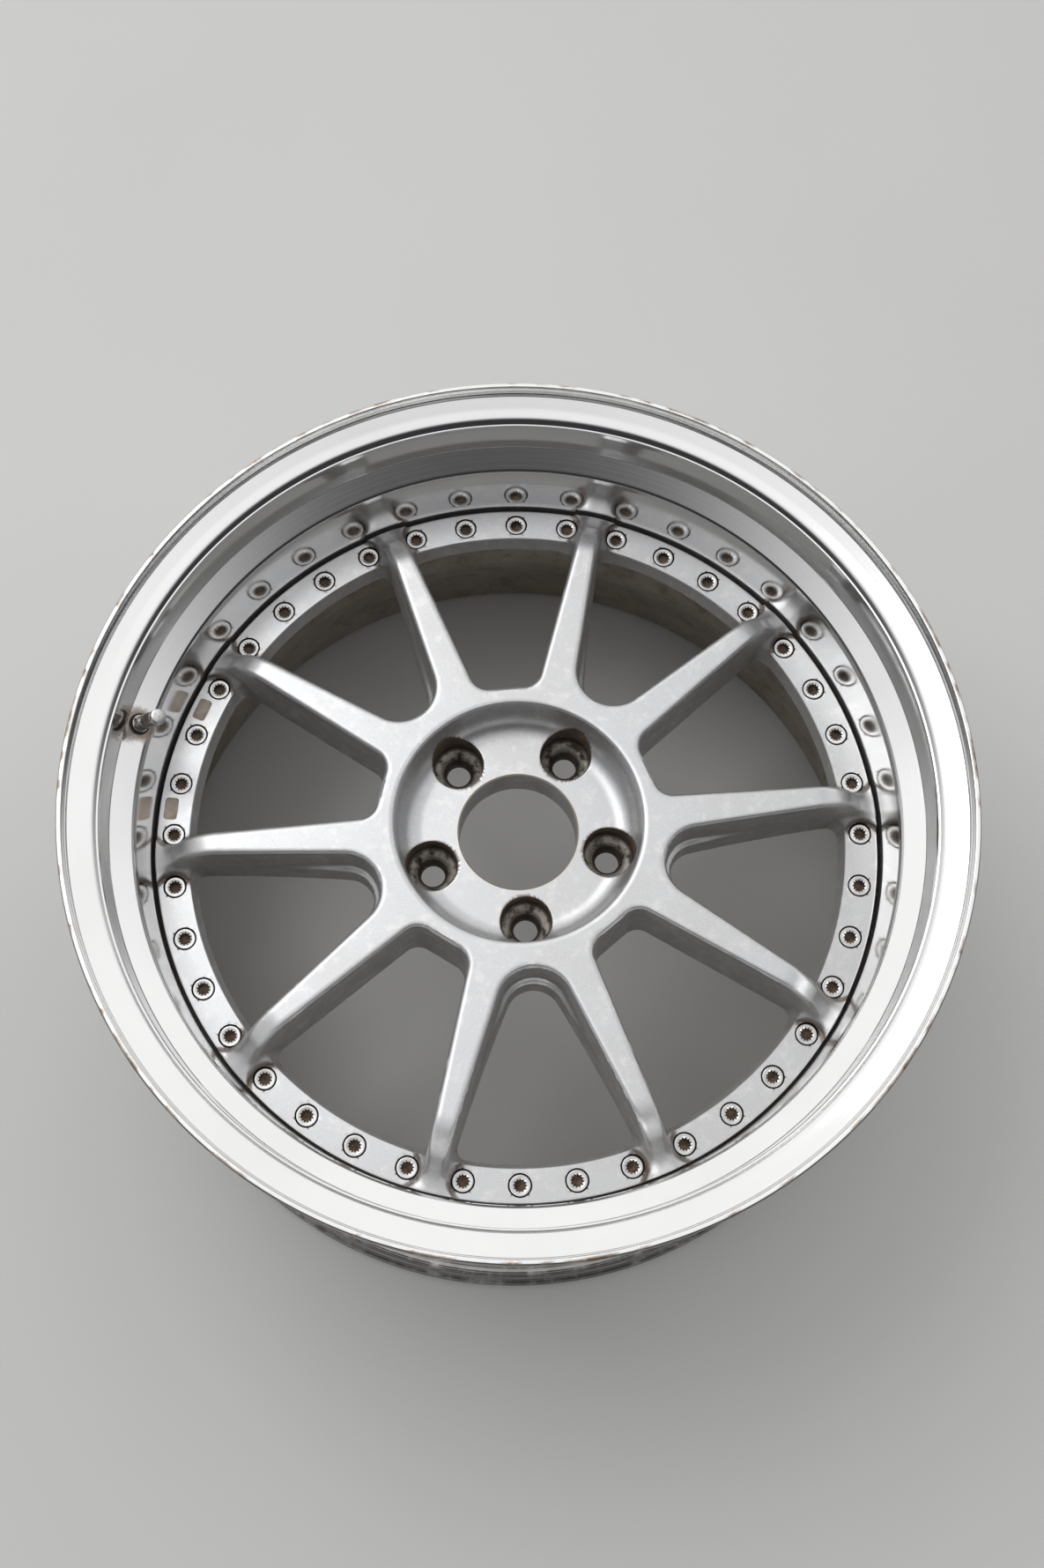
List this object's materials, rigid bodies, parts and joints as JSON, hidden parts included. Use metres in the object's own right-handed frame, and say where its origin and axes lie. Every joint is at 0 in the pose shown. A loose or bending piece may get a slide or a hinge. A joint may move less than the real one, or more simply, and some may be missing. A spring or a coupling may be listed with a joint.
{
  "type": "forged racing wheel rim",
  "caption": "Deep-dish three-piece forged wheel with a bolted ten-spoke centre, a polished stepped outer half, a drop-centre inner half and a capped tyre valve.",
  "frame": {"origin": "centre of the hub mounting face, on the wheel's axis", "axes": "+Z along the axle, outboard; the wheel lies on its inboard flange; -Y through one wheel stud hole"},
  "size_m": [0.5226, 0.5226, 0.2715],
  "materials": {
    "silver_paint": "satin silver metallic paint with brown brake dust in the corners",
    "polished_lip": "mirror polished with fine lathe lines and kerb marks on the edge",
    "dull_barrel": "dull anodised, stained brown, black tyre marks on the flange",
    "sealant": "matt grey silicone",
    "bolt_steel": "turned steel, rusty brown inside the sockets",
    "nut_steel": "dull zinc plated",
    "valve_nickel": "nickel plated, dirty",
    "valve_rubber": "matt black",
    "core_brass": "bright turned brass",
    "core_gasket": "matt red",
    "spring_steel": "drawn wire",
    "cap_metal": "satin bare metal, knurled"
  },
  "bodies": {
    "wheel": {"centre_disc": "silver_paint", "outer_rim_half": "polished_lip", "inner_rim_half": "dull_barrel", "rim_seal_bead": "sealant", "assembly_bolts": "bolt_steel", "assembly_washers": "nut_steel", "assembly_nuts": "nut_steel", "valve_stem": "valve_nickel", "valve_grommet": "valve_rubber", "valve_inner_seal": "valve_rubber", "valve_washer": "valve_nickel", "valve_nut": "valve_nickel", "valve_core_plug": "core_brass", "valve_core_barrel": "core_brass", "valve_core_gasket": "core_gasket", "valve_core_spring": "spring_steel"},
    "cap_gasket": {"cap_gasket": "valve_rubber"},
    "valve_cap": {"valve_cap": "cap_metal"},
    "core_pin": {"valve_core_pin": "core_brass", "valve_core_seal": "valve_rubber"}
  },
  "joints": [
    {"name": "cap_lift", "type": "slide", "parent": "wheel", "child": "cap_gasket", "axis": [0.559, -0.1816, 0.809], "range_m": [0, 0.00397]},
    {"name": "cap_turn", "type": "hinge", "parent": "cap_gasket", "child": "valve_cap", "pos_m": [-0.21089, 0.06852, 0.08701], "axis": [0.559, -0.1816, 0.809], "range_deg": [0, 1800]},
    {"name": "core_pin_press", "type": "slide", "parent": "wheel", "child": "core_pin", "axis": [0.559, -0.1816, 0.809], "range_m": [-0.0015, 0], "stiffness_N_per_m": 60, "springref_m": 0.0005, "deforming": ["valve_core_spring"]}
  ],
  "couplings": [
    {"joint": "cap_turn", "follows": "cap_lift", "rad_per_m": 7913.3}
  ]
}
